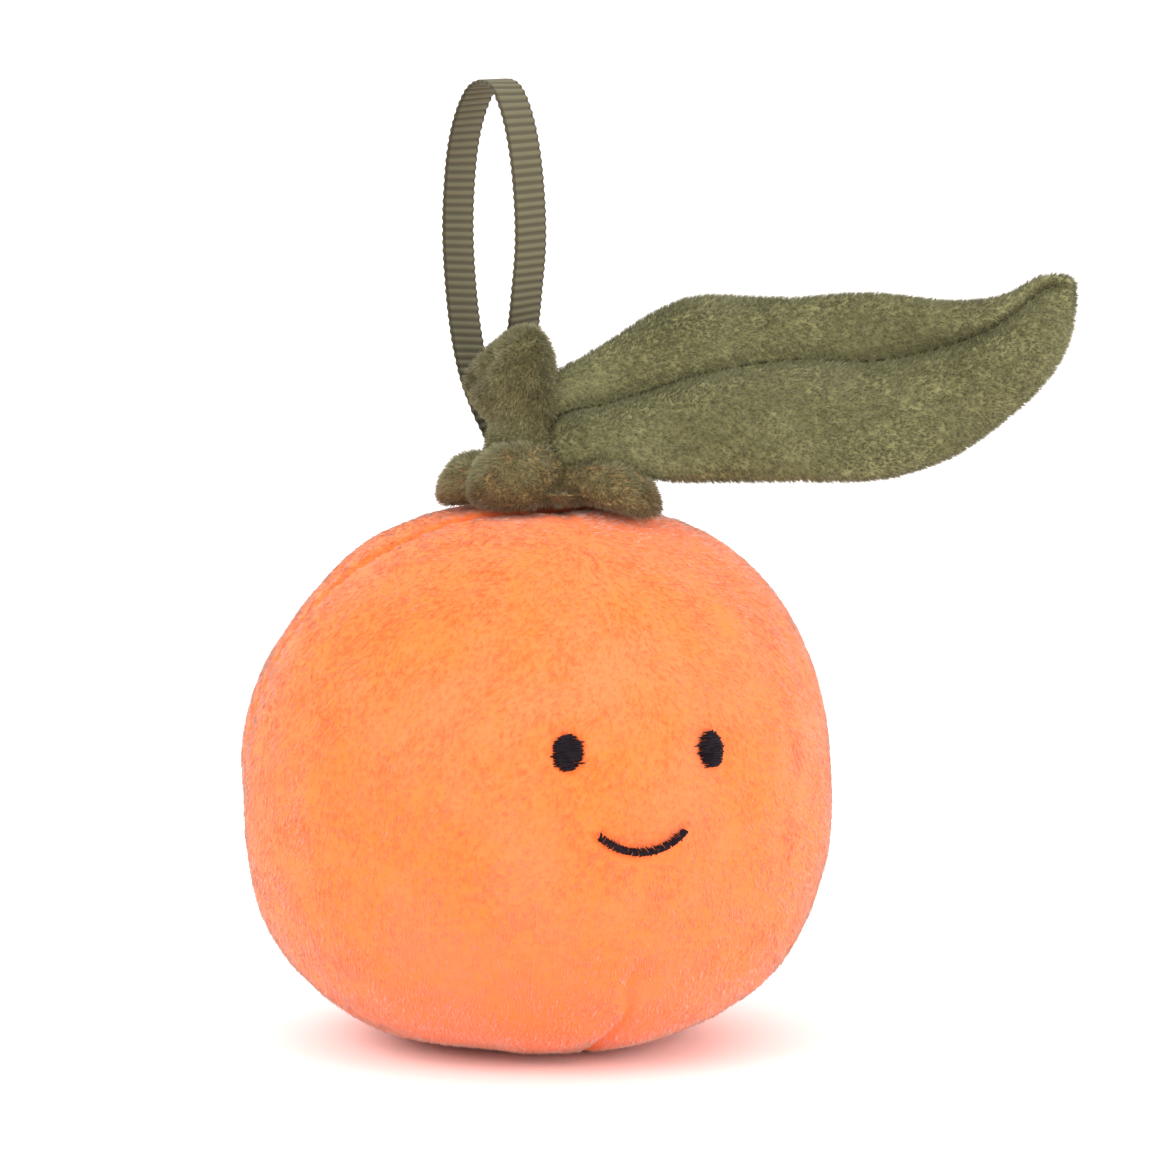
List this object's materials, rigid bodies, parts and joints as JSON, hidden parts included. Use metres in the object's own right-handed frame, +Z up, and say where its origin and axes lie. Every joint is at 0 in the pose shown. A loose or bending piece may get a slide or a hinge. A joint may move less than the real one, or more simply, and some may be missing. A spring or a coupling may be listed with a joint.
{
  "type": "plush mandarin hanging ornament",
  "caption": "Stuffed plush mandarin with a calyx, stem, leaf, simple embroidered face and a ribbon loop; stands on its flattened underside or hangs from the loop",
  "frame": {"origin": "middle of the flat spot that it stands on", "axes": "+Z up, the embroidered face looks along -Y, +X is the side that the leaf points to"},
  "size_m": [0.1149, 0.0861, 0.1388],
  "materials": {
    "orange_plush": "short orange plush pile with a soft sheen",
    "green_plush": "short olive green plush pile",
    "polyester_fibre": "loose white fibre",
    "dark_thread": "satin-stitched near-black thread",
    "olive_thread": "dark olive sewing thread",
    "olive_ribbon": "ribbed olive ribbon, low sheen"
  },
  "bodies": {
    "root": {"front_panel": "orange_plush", "back_panel": "orange_plush", "body_filling": "polyester_fibre", "left_eye": "dark_thread", "right_eye": "dark_thread", "smile": "dark_thread", "calyx_upper": "green_plush", "calyx_lower": "green_plush", "stem_cover": "green_plush", "stem_filling": "polyester_fibre", "leaf_upper": "green_plush", "leaf_lower": "green_plush", "leaf_vein_stitches": "olive_thread", "ribbon_loop": "olive_ribbon"}
  },
  "joints": []
}
